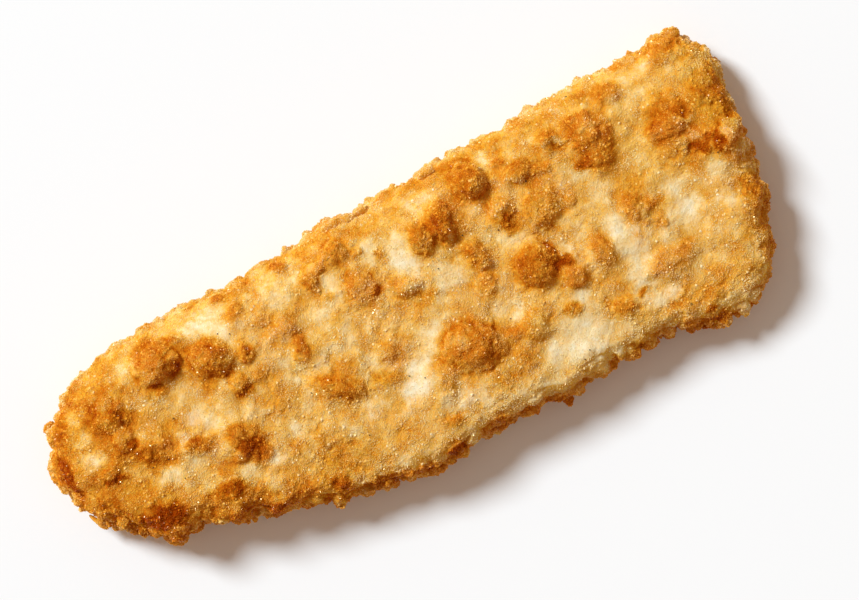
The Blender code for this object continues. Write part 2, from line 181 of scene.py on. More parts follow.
    (34.2, -11, 1.6, 1.4, 0, 0.08, 0.1, 0.0), (29, -19, 4.9, 6.0, -20, WHITE, 0.0, 0.0),
    (41, -17.3, 3.4, 2.3, 0, 0.58, 0.25, 0.4), (47.5, -12, 2.3, 7.0, 0, 0.06, 0.0, 0.0),
    (46.2, -16.5, 0.9, 0.8, 0, 0.62, 0.0, -0.4), (54, -13, 6.0, 2.9, 0, 0.42, 0.25, 0.4),
    (57.5, -12, 1.9, 1.6, 0, 0.58, 0.25, 0.2), (51.5, -19, 2.0, 1.6, 0, 0.22, 0.3, 0.1),
    (69.5, -10.5, 3.5, 5.5, 0, PALE, 0.0, 0.0), (69, -22, 2.2, 1.8, 0, 0.4, 0.0, 0.0),
    (39, -26, 6.0, 1.3, -3, 0.62, 0.0, 0.0), (52.5, -27, 2.0, 1.7, 0, TAN, 0.0, 0.5),
    (57.2, -28.4, 3.0, 1.0, 0, DARK, 0.0, 0.2), (57, -26, 1.4, 1.1, 0, 0.84, 0.0, 0.0),
    # the two round lumps by the narrow end, darker and pinker on top
    (-53.0, 19.6, 3.0, 2.6, 10, 0.58, 0.6, 0.2), (-41.2, 15.2, 2.6, 2.4, 0, 0.6, 0.5, 0.1),
    # the wide end's corner lumps
    # (75.2, 1.8) paints the shade below the corner lump.
    (77.6, 5.0, 3.4, 3.3, 0, 0.46, 0.7, 1.5), (75.2, 1.8, 2.4, 1.0, 20, 0.6, 0.0, 0.0),
    (76.0, 28.4, 2.4, 1.8, -10, 0.5, 0.5, 0.6), (79.5, 9.5, 1.4, 5.0, 0, 0.44, -0.9, 0.0),
    (-65.8, -4.8, 4.0, 2.0, -16, 0.46, -0.2, 0.0), (-33.3, 11.0, 1.6, 1.4, 0, 0.72, 0.3, 0.0),
    # the knobbly brown place near the wide end, with sunk gaps between its lumps that are darkened as painted
    # shade
    (63.5, 12.5, 2.2, 1.8, 10, 0.50, 0.7, 0.7), (67.8, 11.1, 2.2, 1.9, 0, 0.50, 0.8, 0.8),
    (70.3, 8.0, 1.9, 1.7, 0, 0.54, 0.6, 0.7), (71.4, 4.8, 1.6, 1.3, 0, 0.78, 0.0, -0.2),
    (64.7, 16.4, 1.8, 1.2, 0, 0.56, 0.0, -0.2), (70.6, 13.2, 2.2, 1.0, -30, 0.78, 0.0, -0.2),
    (74.4, 4.6, 0.9, 2.4, 0, 0.7, 0.2, -0.2), (50.3, 19.6, 3.0, 2.6, 0, 0.54, 0.4, 0.6),
    # golden ground by the wide end's corners and along the lower rim
    (76.5, 21.5, 4.0, 3.4, 0, 0.38, -0.5, 0.0), (80.0, 17.0, 2.2, 4.0, 0, 0.5, -0.3, 0.0),
    (75.5, 1.0, 3.0, 1.6, 0, 0.34, 0.2, 0.0), (68.7, -18.6, 3.6, 5.0, 0, 0.4, -0.1, 0.0),
    (73.0, -18.5, 3.5, 6.0, 0, 0.37, -0.1, 0.0), (68.0, -26.5, 6.0, 2.6, 15, 0.24, 0.0, 0.0),
    (20.0, -24.6, 34.0, 1.7, -1, 0.16, -0.2, 0.0), (-24.0, -19.0, 10.0, 3.8, -14, 0.4, -0.4, 0.0),
    (-14.0, -18.0, 7.0, 3.6, -10, 0.32, -0.2, 0.0),
]

# Lumps that the rim is ragged with: x, y, half length outwards, half width, turn in degrees, height, tone.
LOBES = [
    (-78.1, -6.6, 2.1, 0.6, -66, 5.0, 0.5), (-77.4, -6.4, 1.2, 1.1, -120, 5.0, 0.56),
    (-74.8, -8.6, 1.4, 1.3, -130, 5.0, 0.56), (-71.6, -11.0, 1.6, 1.5, -130, 5.0, 0.62),
    (-68.4, -13.4, 1.4, 1.5, -120, 5.0, 0.72), (-64.6, -15.9, 2.7, 2.6, -110, 5.0, 0.56),
    (-60.2, -16.0, 2.1, 1.9, -100, 5.0, 0.62), (-56.2, -15.2, 1.8, 2.2, -105, 5.4, 0.52),
    (-51.6, -17.5, 2.2, 1.6, -110, 5.0, 0.56), (-48.0, -19.8, 2.1, 0.9, -115, 5.0, 0.54),
    (-43.0, -20.9, 2.2, 1.9, -105, 4.4, 0.70), (-38.6, -21.3, 1.8, 1.7, -100, 5.0, 0.52),
    (-34.8, -22.9, 1.4, 1.3, -100, 5.0, 0.66), (-30.0, -25.0, 1.7, 1.1, -100, 5.0, 0.66),
    (-26.8, -25.6, 1.2, 1.1, -90, 5.0, 0.68), (-22.2, -26.5, 1.3, 1.3, -90, 5.0, 0.62),
    (-19.0, -27.3, 1.5, 1.3, -90, 5.0, 0.60), (-15.0, -28.1, 1.4, 1.1, -95, 5.0, 0.60),
    (-11.6, -28.3, 1.6, 2.0, -90, 5.0, 0.54), (-8.8, -28.3, 1.5, 1.2, -85, 5.0, 0.60),
    (-4.0, -27.9, 1.7, 2.0, -90, 5.0, 0.66), (1.5, 26.2, 1.0, 2.0, 90, 9.2, 0.42),
    (7.0, -27.2, 1.4, 1.8, -90, 5.0, 0.68), (13.0, -27.6, 1.1, 1.7, -90, 5.0, 0.50),
    (21.8, -28.9, 1.6, 1.2, -95, 4.6, 0.74), (38.5, -26.0, 1.4, 2.2, -90, 5.4, 0.76),
    (43.0, -26.8, 1.0, 1.6, -80, 5.0, 0.66), (51.8, -27.6, 1.3, 1.1, -100, 5.0, 0.70),
    (57.2, -28.9, 1.3, 2.7, -88, 4.4, 0.76), (64.0, -29.0, 1.2, 1.9, -90, 5.0, 0.55),
    (81.6, 20.0, 1.2, 0.8, 15, 6.0, 0.52), (76.4, 29.2, 1.4, 1.8, 80, 8.0, 0.52),
    (-5.0, 25.8, 1.7, 2.8, 95, 9.6, 0.46), (-2.6, 25.7, 1.3, 1.8, 90, 9.6, 0.46),
    (17.0, 26.6, 1.3, 2.0, 90, 9.8, 0.46), (-78.0, 15.6, 1.5, 1.5, 150, 6.0, 0.56),
]

# Clusters of bright flecks, whose pale colour is partly a painted highlight beside their real gloss: x, y,
# reach.
FLECKS = [
    (-5.8, 5.7, 1.7), (-8.2, 3.4, 1.5), (10.7, -16.5, 1.3), (3.3, -16.0, 1.3), (-15.0, 6.0, 2.2),
    (-16.8, 2.6, 2.2), (-52.6, -0.7, 3.2), (-55.5, 10.6, 2.6), (-48.0, -3.5, 2.4), (-60.5, 4.5, 2.0),
    (36.0, 8.0, 1.8), (58.0, 10.0, 2.0),
]

# Pepper specks: x, y.
SPECKS = [
    (-53.2, 5.8), (-48.2, -2.5), (-58.0, -1.5), (-62.0, -1.5), (-57.0, -6.5), (-37.0, 17.0), (-35.0, 16.0),
    (10.3, 8.0), (11.0, 9.2), (18.9, -8.3), (-18.5, -16.5), (13.7, 25.8), (5.0, 20.0), (-3.0, -11.0),
    (17.8, 11.8), (25.1, 9.2), (-21.5, 9.0), (-25.5, -2.7), (-13.4, -2.6), (-5.5, -9.3), (44.0, 21.5),
    (73.0, 2.7), (50.6, 27.5), (35.0, 15.4), (30.5, -21.7), (28.6, -23.3), (53.8, -23.2), (50.0, -14.3),
]


# ---------------------------------------------------------------- small tools


def select_only(piece):
    for other in list(bpy.context.selected_objects):
        other.select_set(False)
    piece.select_set(True)
    bpy.context.view_layer.objects.active = piece


def finish_with(piece, kind, **settings):
    """Adds a modifier with these settings and applies it."""
    select_only(piece)
    modifier = piece.modifiers.new(kind.lower(), kind)
    for name, value in settings.items():
        setattr(modifier, name, value)
    bpy.ops.object.modifier_apply(modifier=modifier.name)


def points_of(piece):
    points = np.empty(len(piece.data.vertices) * 3)
    piece.data.vertices.foreach_get("co", points)
    return points.reshape(-1, 3)


def normals_of(piece):
    normals = np.empty(len(piece.data.vertices) * 3)
    piece.data.vertices.foreach_get("normal", normals)
    return normals.reshape(-1, 3)


def place_points(piece, points):
    piece.data.vertices.foreach_set("co", points.ravel())
    piece.data.update()


def paint(piece, name, values):
    """Keeps one number for each vertex, for materials and scattering to read."""
    layer = piece.data.attributes.new(name, "FLOAT", "POINT")
    layer.data.foreach_set("value", np.ascontiguousarray(values, np.float32))


def smooth(low, high, values):
    share = np.clip((values - low) / (high - low), 0, 1)
    return share * share * (3 - 2 * share)


def drift(points, wave, seed):
    """Smooth noise from -1 to 1 with this wavelength, at points in the fillet's millimetres."""
    away = Vector((seed * 17.3, seed * 5.1, seed * 9.7))
    return np.array([noise.noise(Vector(p) / wave + away) for p in points])


def lumps(points, spacing, seed, share):
    """Round lumps packed at this spacing: their height from 0 to 1, and each lump's own chance."""
    away = Vector((seed * 3.7, seed * 11.9, seed * 7.3))
    gaps, middles = np.empty(len(points)), np.empty((len(points), 3))
    for i, p in enumerate(points):
        distances, centres = noise.voronoi(Vector(p) / spacing + away)
        gaps[i] = distances[0]
        middles[i] = centres[0]
    chance = np.modf(np.abs(np.sin(middles @ (12.99, 78.23, 37.72))) * 4375.85)[0]
    dome = np.sqrt(np.clip(1 - (gaps / 0.62) ** 2, 0, 1))
    return dome * (chance < share), chance


def flakes(points, spacing, seed):
    """Slanting plates packed at this spacing, with a step between neighbours: height, and each one's chance."""
    away = Vector((seed * 3.7, seed * 11.9, seed * 7.3))
    inside, middles = np.empty((len(points), 3)), np.empty((len(points), 3))
    for i, p in enumerate(points):
        place = Vector(p) / spacing + away
        centre = noise.voronoi(place)[1][0]
        inside[i] = place - centre
        middles[i] = centre
    chance, lean_x, lean_y = (np.modf(np.abs(np.sin(middles @ np.array(mix))) * 4375.85)[0]
                              for mix in ((12.99, 78.23, 37.72), (39.3, 11.1, 83.2), (73.2, 52.2, 9.15)))
    lean = inside[:, 0] * (lean_x - 0.5) + inside[:, 1] * (lean_y - 0.5)
    return chance + 2.0 * lean, chance


def evened(piece, values, rounds):
    """The values after each point has taken its neighbours' mean this many times."""
    ends = np.empty(len(piece.data.edges) * 2, np.int32)
    piece.data.edges.foreach_get("vertices", ends)
    a, b = ends.reshape(-1, 2).T
    count = np.bincount(a, minlength=len(values)) + np.bincount(b, minlength=len(values))
    for _ in range(rounds):
        near = np.bincount(a, values[b], len(values)) + np.bincount(b, values[a], len(values))
        values = (values + near) / (count + 1)
    return values


def spread(at, x, y, long, wide, turn):
    """How far each point lies from a patch's middle: 0 there and 1 at its edge."""
    c, s = math.cos(math.radians(turn)), math.sin(math.radians(turn))
    dx, dy = at[:, 0] - x, at[:, 1] - y
    return np.hypot((dx * c + dy * s) / long, (dy * c - dx * s) / wide)


# ---------------------------------------------------------------- the crust

# In tones and in the fillet's millimetres.
GROUND = 0.275  # tone of the batter before any patch
# STEEP_TONE keeps steep places brown, partly as painted shade.
STEEP_TONE = 0.40  # least tone of steep places
SUNK = 0.4  # how far the skin is drawn in before its lumps push it out
CALM_X, CALM_Y = 77, -24  # the corner where the rim isn't ragged


def crust_blank():
    """The fillet's skin with an even fine net of faces, and a coarser one under it."""
    crust = bpy.data.objects.new("crumb_crust", frame["nodes"]["fillet"].data.copy())
    bpy.context.scene.collection.objects.link(crust)
    crust.data.materials.clear()
    select_only(crust)
    bpy.ops.object.mode_set(mode="EDIT")
    bpy.ops.mesh.select_all(action="SELECT")
    bpy.ops.mesh.remove_doubles(threshold=0.01 * MM)
    bpy.ops.object.mode_set(mode="OBJECT")
    finish_with(crust, "REMESH", mode="VOXEL", voxel_size=GRAIN)
    bpy.ops.object.mode_set(mode="EDIT")
    bpy.ops.mesh.select_mode(type="FACE")
    bpy.ops.mesh.select_all(action="DESELECT")
    bpy.ops.object.mode_set(mode="OBJECT")
    for face in crust.data.polygons:
        face.select = face.normal.z < -0.9 and face.center.z < 0.5 * MM
    bpy.ops.object.mode_set(mode="EDIT")
    bpy.ops.mesh.decimate(ratio=UNDER_SHARE)
    bpy.ops.mesh.select_all(action="SELECT")
    bpy.ops.mesh.quads_convert_to_tris()
    bpy.ops.mesh.normals_make_consistent(inside=False)
    bpy.ops.object.mode_set(mode="OBJECT")
    return crust


def browned(at, top):
    """Tone, redness and rise of each point: the plain batter, then each patch laid over it in turn."""
    # A slow warp makes every patch ragged, so none keeps a drawn edge.
    warp = at[:, :2] + np.stack([drift(at, 4.0, 1) + drift(at, 1.6, 2) * 0.8,
                                 drift(at, 4.0, 3) + drift(at, 1.6, 4) * 0.8], axis=1)
    tone = GROUND + 0.08 * drift(at, 12.0, 21)
    redness = 0.3 * drift(at, 8.0, 24)
    rise = np.zeros(len(at))
    for x, y, long, wide, turn, patch_tone, patch_redness, height in PATCHES:
        away = spread(warp, x, y, long, wide, turn)
        soft = 0.35 if patch_tone < 0.2 else 0.0
        cover = smooth(1.35 + soft, 0.55 - soft, away) * top
        tone += (patch_tone - tone) * cover
        redness += (patch_redness - redness) * cover
        dome = np.clip(1 - (away / 1.1) ** 2, 0, 1) ** 0.75
        rise = np.maximum(rise, height * dome) if height > 0 else rise + height * dome
    return tone, redness, rise


def flecked(at):
    """1 where bright flecks gather, and 0 away from there."""
    fleck = np.zeros(len(at))
    for x, y, reach in FLECKS:
        fleck = np.maximum(fleck, smooth(reach, 0.4 * reach, np.hypot(at[:, 0] - x, at[:, 1] - y)))
    return fleck


def sculpted_crust():
    """The crust with its lumps and flakes, painted with what its finish and the scattering read."""
    crust = crust_blank()
    at = points_of(crust) / MM
    up = normals_of(crust)
    top = smooth(0.0, 0.7, up[:, 2])
    under = smooth(-0.3, -0.9, up[:, 2])
    side = np.clip(1 - top - under, 0, 1)
    tone, redness, rise = browned(at, top)

    # The rim is most ragged along its lower edge, and calm by one corner. Brown places are the roughest.
    rim = smooth(0.9, 0.3, up[:, 2]) * (1 - under)
    ragged = rim * np.clip(0.5 + 0.6 * drift(at, 9.0, 28) - 0.008 * at[:, 1], 0.15, 0.9)
    ragged *= smooth(4.0, 11.0, np.hypot(at[:, 0] - CALM_X, at[:, 1] - CALM_Y))
    rugged = np.clip(0.45 + 0.9 * (tone - 0.3) + 0.4 * drift(at, 7.0, 5), 0.12, 1.0) * top + 0.9 * side
    at[:, 2] += rise * top
    place_points(crust, at * MM)
    up = normals_of(crust)

    # Lumps of three sizes, flakes of two and slow swells push the skin out along its normals.
    bent = at + 0.6 * np.stack([drift(at, 1.8, 31), drift(at, 1.8, 32), drift(at, 1.8, 33)], axis=1)
    big, big_chance = lumps(bent, 4.6, 11, 0.6)
    middle, middle_chance = lumps(bent, 2.6, 12, 0.7)
    small, _ = lumps(bent, 1.4, 13, 0.75)
    lobes, _ = lumps(bent * (1, 1, 0.35), 3.4, 17, 0.8)
    plates, plate_chance = flakes(bent, 3.4, 18)
    chips, chip_chance = flakes(bent, 1.9, 19)
    push = rugged * (0.34 * big + 0.28 * middle + 0.2 * small) + 0.08 * drift(at, 1.0, 14)
    push += rugged * (0.28 * (plates - 0.5) + 0.22 * (chips - 0.5))
    push += 0.35 * drift(at, 6.0, 15) + 0.3 * drift(at, 3.0, 16)
    push += side * (0.6 * middle + 0.4 * small - 0.3) + ragged * (2.2 * lobes - 1.1)
    at += up * ((push - SUNK) * (1 - 0.8 * under))[:, None]
    at[:, 2] = np.maximum(at[:, 2], 0.0)
    place_points(crust, at * MM)

    # Painted shade: hollows, and the ground round the feet of lumps, are darker than what lies round them, and
    # hollows more olive. Steep sides of lumps are browner, partly for frying and partly as painted shade, and
    # the fillet's sides, the underside and the ragged rim are browner too.
    slope = smooth(0.97, 0.7, normals_of(crust)[:, 2]) * top
    foot_shade = np.clip(evened(crust, rise * top, 50) - rise * top, 0, 0.3)
    height = push + rise * top
    crevice = np.clip((evened(crust, height, 12) - height) / 0.30, -1, 1)
    hollow = np.clip(crevice, 0, 1)
    tone += 0.16 * drift(at, 6.0, 22) + 0.14 * drift(at, 3.2, 27) + 0.05 * drift(at, 1.8, 23) + 0.02
    tone += rugged * (0.14 * big * (big_chance - 0.2) + 0.08 * middle * (middle_chance - 0.35))
    tone += rugged * (0.14 * (plate_chance - 0.5) + 0.04 * (chip_chance - 0.5))
    tone += (0.18 * hollow + 0.5 * foot_shade + 0.1 * slope + 0.06 * slope * smooth(0.25, 0.45, tone)
             + 0.10 * under + ragged * (0.06 - 0.12 * lobes))
    # Painted shade: the fillet's sides are browner towards its lower edge, the side away from the lamp, and
    # paler towards the lamp.
    tone += (np.clip(0.44 - 0.005 * at[:, 1], 0.3, 0.58) - GROUND) * side
    redness += 0.3 * drift(at, 5.0, 25) - 0.2 * hollow + 0.3 * side
    redness += 0.3 * (tone - 0.45) + 0.15 * (plate_chance - 0.5)

    # Where crumbs gather: coarse ones on brown places and sides, glittering ones in drifts, fine ones all over.
    rough = np.clip(0.1 + 1.7 * (tone - 0.15) + 0.35 * drift(at, 5.0, 6), 0.06, 1.0)
    rough = (rough * smooth(0.1, 0.4, tone) + 0.6 * side) * np.clip(0.9 - 0.7 * crevice, 0.1, 1.3) * (1 - under)
    glitter = drift(at, 3.2, 26) + 0.5 * drift(at, 1.2, 27) - 0.3 * crevice + 0.6 * (tone - 0.4)
    glitter = (0.05 + smooth(-0.1, 0.35, glitter) * smooth(0.08, 0.42, tone)) * (1 - under)
    # Steep places and sides are at least this brown, partly as painted shade.
    tone = np.maximum(tone, STEEP_TONE * np.maximum(slope, side))
    fine = (0.35 + 0.65 * smooth(0.1, 0.5, tone + 0.3 * drift(at, 2.2, 29))) * (1 - under)

    paint(crust, "fleck", flecked(at) * top)
    paint(crust, "tone", np.clip(tone, 0, 1))
    paint(crust, "fine", fine)
    paint(crust, "redness", np.clip(redness, -1, 1) * smooth(-0.1, 0.4, tone))
    paint(crust, "rough", rough)
    paint(crust, "glitter", glitter)
    return crust


def add_lobes(crust):
    """Sinks the rim's own lumps into the crust's side, as part of the crust."""
    lobes = []
    for x, y, long, wide, turn, z, tone in LOBES:
        bpy.ops.mesh.primitive_ico_sphere_add(subdivisions=3, radius=1.0)
        lobe = bpy.context.object
        at = points_of(lobe)
        out = smooth(-0.4, 0.2, at[:, 0])
        at *= (long, wide, 0.9 * min(long, wide) + 0.3)
        place = at + (x, y, z)
        at *= 1 + 0.3 * drift(place, 1.5, 41)[:, None] + 0.2 * drift(place, 0.7, 42)[:, None]
        c, s = math.cos(math.radians(turn)), math.sin(math.radians(turn))
        at = np.stack([at[:, 0] * c - at[:, 1] * s + x, at[:, 0] * s + at[:, 1] * c + y, at[:, 2] + z], axis=1)
        place_points(lobe, at * MM)
        paint(lobe, "tone", np.clip(tone + 0.12 * drift(at, 1.2, 43), 0, 1))
        paint(lobe, "redness", 0.2 + 0.3 * drift(at, 2.0, 44))
        for name in ("rough", "glitter", "fine"):
            paint(lobe, name, 0.9 * out)
        paint(lobe, "fleck", np.zeros(len(at)))
        lobes.append(lobe)
    select_only(crust)
    for lobe in lobes:
        lobe.select_set(True)
    bpy.ops.object.join()
    for face in crust.data.polygons:
        face.use_smooth = True


# ---------------------------------------------------------------- finishes

# Colour at each tone, of the crust itself and of the crumbs on it.
TONES = [
    (0.00, (0.91, 0.805, 0.59)), (0.14, (0.885, 0.69, 0.385)), (0.34, (0.835, 0.50, 0.12)),
    (0.54, (0.76, 0.345, 0.028)), (0.76, (0.615, 0.185, 0.006)), (1.00, (0.34, 0.050, 0.001)),
]
CRUMB_TONES = [
    (0.00, (0.955, 0.845, 0.62)), (0.14, (0.93, 0.735, 0.425)), (0.34, (0.875, 0.54, 0.148)),
    (0.54, (0.85, 0.40, 0.038)), (0.76, (0.685, 0.22, 0.011)), (1.00, (0.40, 0.065, 0.002)),
]
# What multiplies those colours: at redness -1 and 1, painted shade between glittering crumbs, and painted shade
# low on each crumb.
OLIVE = (0.97, 1.0, 0.85, 1)
PINKISH = (1.02, 0.98, 1.5, 1)
SHADY = (0.91, 0.765, 0.44, 1)
FOOT_SHADE_TINT = (1.0, 0.91, 0.52, 1)
GLINT = (1.0, 0.80, 0.48, 1)  # tint of a crumb's highlight
PEPPER = (0.03, 0.02, 0.012, 1)
MATT, CRISP = 0.6, 0.18  # roughness of the crust and the pepper, and of the crumbs
GLOW = 0.12  # how deep light goes into the crust, in millimetres
# The crust's spots are painted glints as well as bumps.
SPOT, RELIEF = 0.42, 0.4  # spacing of the crust's spots and height of its bumps, in millimetres

# What changes a crumb's tone: its chance, how high a point is on it, which paints shade low on it and a
# highlight at its tip, and its shift where the crust is palest.
# No crumb is paler than the last of these.
CHANCE_SPREAD, FOOT_SHADE_SPREAD, PALE_SHIFT, LEAST_TONE = 0.22, 0.45, 1.9, 0.08


class Nodes:
    """Adds and joins the nodes of one material."""

    def __init__(self, name):
        self.material = bpy.data.materials.new(name)
        self.material.use_nodes = True
        self.tree = self.material.node_tree
        self.shader = self.tree.nodes["Principled BSDF"]

    def add(self, kind, **settings):
        node = self.tree.nodes.new("ShaderNode" + kind)
        for name, value in settings.items():
            setattr(node, name, value)
        return node

    def join(self, source, target):
        self.tree.links.new(source, target)

    def calc(self, operation, a, b):
        """One sum, of sockets or plain numbers."""
        node = self.add("Math", operation=operation)
        for socket, value in zip(node.inputs, (a, b)):
            if isinstance(value, (int, float)):
                socket.default_value = value
            else:
                self.join(value, socket)
        return node.outputs[0]

    def speckle(self, size, detail=2.0):
        """Noise from 0 to 1 whose spots are about this many millimetres across."""
        where = self.add("TexCoord").outputs["Object"]
        node = self.add("TexNoise")
        node.inputs["Scale"].default_value = 1 / (size * MM)
        node.inputs["Detail"].default_value = detail
        node.inputs["Roughness"].default_value = 0.6
        self.join(where, node.inputs["Vector"])
        return node.outputs["Fac"]

    def mottle(self, size, strength):
        """The same noise round 0, from minus half this strength to half of it."""
        return self.calc("MULTIPLY", self.calc("SUBTRACT", self.speckle(size), 0.5), strength)

    def spots(self, size):
        """Round spots packed this many millimetres apart: each fades from 1 in its middle, and has a chance."""
        node = self.add("TexVoronoi", feature="F1")
        node.inputs["Scale"].default_value = 1 / (size * MM)
        self.join(self.add("TexCoord").outputs["Object"], node.inputs["Vector"])
        spot = self.calc("MULTIPLY", self.calc("SUBTRACT", 0.5, node.outputs["Distance"]), 4.0)
        spot.node.use_clamp = True
        return spot, self.calc("ADD", node.outputs["Color"], 0.0)

    def number(self, name):
        return self.add("Attribute", attribute_name=name).outputs["Fac"]

    def times(self, colour, tint, factor):
        """The colour multiplied by a tint, as far as the factor says."""
        node = self.add("Mix", data_type="RGBA", blend_type="MULTIPLY")
        self.join(factor, node.inputs[0])
        self.join(colour, node.inputs[6])
        node.inputs[7].default_value = tint
        return node.outputs[2]

    def fried(self, tone, tones=TONES):
        """The colour of fried crumb at this tone, turned olive or pinkish by the painted redness."""
        ramp = self.add("ValToRGB")
        stops = ramp.color_ramp.elements
        while len(stops) < len(tones):
            stops.new(0.5)
        for stop, (place, colour) in zip(stops, tones):
            stop.position = place
            stop.color = (*colour, 1)
        self.join(tone, ramp.inputs[0])
        redness = self.number("redness")
        olive = self.times(ramp.outputs["Color"], OLIVE, self.calc("MULTIPLY", redness, -1.0))
        return self.times(olive, PINKISH, redness)


def crust_finish():
    """Matt crumb over a skin that lets a little light in, mottled and spotted finer than its mesh; the pale
    spots are painted glints, and painted shade tints it where glittering crumbs gather.
    """
    n = Nodes("fried_crust")
    fine, wide = n.mottle(0.5, 0.14), n.mottle(1.6, 0.4)
    spot, chance = n.spots(SPOT)
    # Painted highlight: pale spots, most where glittering crumbs gather, stand for glints; the crust is a
    # little browner away from them.
    glint_share = n.calc("ADD", n.calc("MULTIPLY", n.number("glitter"), 0.7), 0.3)
    painted_glint = n.calc("MULTIPLY", n.calc("MULTIPLY", spot, chance), glint_share)
    between = n.calc("MULTIPLY", n.calc("SUBTRACT", 0.1, painted_glint), 0.3)
    tone = n.calc("ADD", n.calc("ADD", n.calc("ADD", n.number("tone"), fine), wide), between)
    # Painted shade: the crust is darker and more saturated where glittering crumbs gather, for the shade
    # between them.
    n.join(n.times(n.fried(tone), SHADY, n.number("glitter")), n.shader.inputs["Base Color"])
    bump = n.add("Bump")
    bump.inputs["Strength"].default_value = 1.0
    bump.inputs["Distance"].default_value = RELIEF * MM
    relief = n.calc("MULTIPLY", n.calc("ADD", n.speckle(0.55, 3.0), n.calc("MULTIPLY", spot, 0.4)),
                    n.calc("ADD", n.number("rough"), 0.25))
    n.join(relief, bump.inputs["Height"])
    n.join(bump.outputs[0], n.shader.inputs["Normal"])
    n.shader.inputs["Roughness"].default_value = MATT
    n.shader.inputs["Specular IOR Level"].default_value = 0.0
    n.shader.inputs["Subsurface Weight"].default_value = 1.0
    n.shader.inputs["Subsurface Radius"].default_value = (1.0, 0.9, 0.8)
    n.shader.inputs["Subsurface Scale"].default_value = GLOW * MM
    return n.material


def crumb_finish(name, shift, gloss):
    """A crumb paler or browner than the crust under it by this shift, and a little by chance. Its low part is
    darker, a painted shade, and its tip paler, a painted highlight."""
    n = Nodes(name)
    own = n.calc("MULTIPLY", n.calc("SUBTRACT", n.number("chance"), 0.5), CHANCE_SPREAD)
    # Painted shade and highlight: a crumb's tone rises low on it and falls towards its tip.
    foot_shade = n.calc("MULTIPLY", n.calc("SUBTRACT", 0.6, n.number("top")), FOOT_SHADE_SPREAD)
    raw = n.calc("POWER", n.calc("SUBTRACT", 1.0, n.number("tone")), 2.0)
    base = n.calc("ADD", n.number("tone"), n.calc("MULTIPLY", raw, PALE_SHIFT * shift))
    tone = n.calc("MAXIMUM", n.calc("ADD", n.calc("ADD", base, own), foot_shade), LEAST_TONE)
    # Painted shade: the low part of each crumb is tinted deeper.
    low = n.calc("SUBTRACT", 1.0, n.number("top"))
    n.join(n.times(n.fried(tone, CRUMB_TONES), FOOT_SHADE_TINT, low), n.shader.inputs["Base Color"])
    n.shader.inputs["Roughness"].default_value = CRISP
    n.shader.inputs["Specular IOR Level"].default_value = gloss
    n.shader.inputs["Specular Tint"].default_value = GLINT
    return n.material


def speck_finish():
    n = Nodes("pepper")
    n.shader.inputs["Base Color"].default_value = PEPPER
    n.shader.inputs["Roughness"].default_value = MATT
    return n.material


# ---------------------------------------------------------------- crumbs

# Kinds of crumb: name, number of faces, flatness, seed.
SHAPES = [("grain", 8, 0.6, 1), ("chip", 4, 0.7, 3), ("nugget", 20, 0.75, 2)]
SHAPES_PER_KIND = 6

# What is strewn: piece, material, kind, number per square millimetre, smallest and largest size, lift, seed,
# tone shift, gloss, and the painted value that says where it gathers.
# Paler crumbs, most of all the sparkling dust and the bright flecks, are partly painted highlights: their pale
# colour stands for glints beside their real gloss.
STREWN = [
    ("golden_grains", "golden_crumb", "grain", 3.6, (0.26, 0.46), 0.0, 100, -0.14, 0.3, "glitter"),
    ("toasted_grains", "toasted_crumb", "grain", 1.7, (0.28, 0.55), -0.02, 300, 0.03, 0.0, "rough"),
    ("nuggets", "nugget_crumb", "nugget", 0.74, (0.45, 0.98), -0.2, 400, -0.03, 0.0, "rough"),
    ("sparkling_dust", "sparkling_crumb", "chip", 7.2, (0.24, 0.40), 0.06, 500, -0.25, 0.8, "glitter"),
    ("fine_dust", "dusty_crumb", "chip", 3.7, (0.2, 0.34), 0.05, 600, -0.25, 0.5, "fine"),
    ("bright_flecks", "bright_crumb", "grain", 2.6, (0.3, 0.62), 0.08, 700, -0.34, 1.0, "fleck"),
]
TIP = 0.4  # how far a crumb leans either way, in radians
SPECK_SIZES, SPECK_LIFT = (0.10, 0.17), 0.16  # the pepper's, in millimetres


def crumb_shapes(name, faces, flat, seed):
    """Some angular crumbs of unit size, kept out of sight as patterns for scattering."""
    rng = np.random.default_rng(seed)
    shapes = bpy.data.collections.new(name + "_shapes")
    for k in range(SHAPES_PER_KIND):
        if faces == 4:
            bpy.ops.mesh.primitive_cone_add(vertices=3, radius1=0.6, depth=0.8, location=(0, 0, 0.1))
        elif faces == 8:
            bpy.ops.mesh.primitive_cone_add(vertices=4, radius1=0.5, depth=0.5, end_fill_type="TRIFAN")
        else:
            bpy.ops.mesh.primitive_ico_sphere_add(subdivisions=1, radius=0.5)
        shape = bpy.context.object
        shape.name = f"{name}_shape_{k}"
        points = points_of(shape)
        points[np.hypot(points[:, 0], points[:, 1]) < 0.01] *= 1.6
        points *= 1 + rng.uniform(-0.28, 0.28, points.shape)
        points *= np.array([1.0, rng.uniform(0.7, 1.0), flat * rng.uniform(0.8, 1.1)])
        place_points(shape, points)
        paint(shape, "top", (points[:, 2] - points[:, 2].min()) / np.ptp(points[:, 2]))
        for holder in list(shape.users_collection):
            holder.objects.unlink(shape)
        shapes.objects.link(shape)
    return shapes


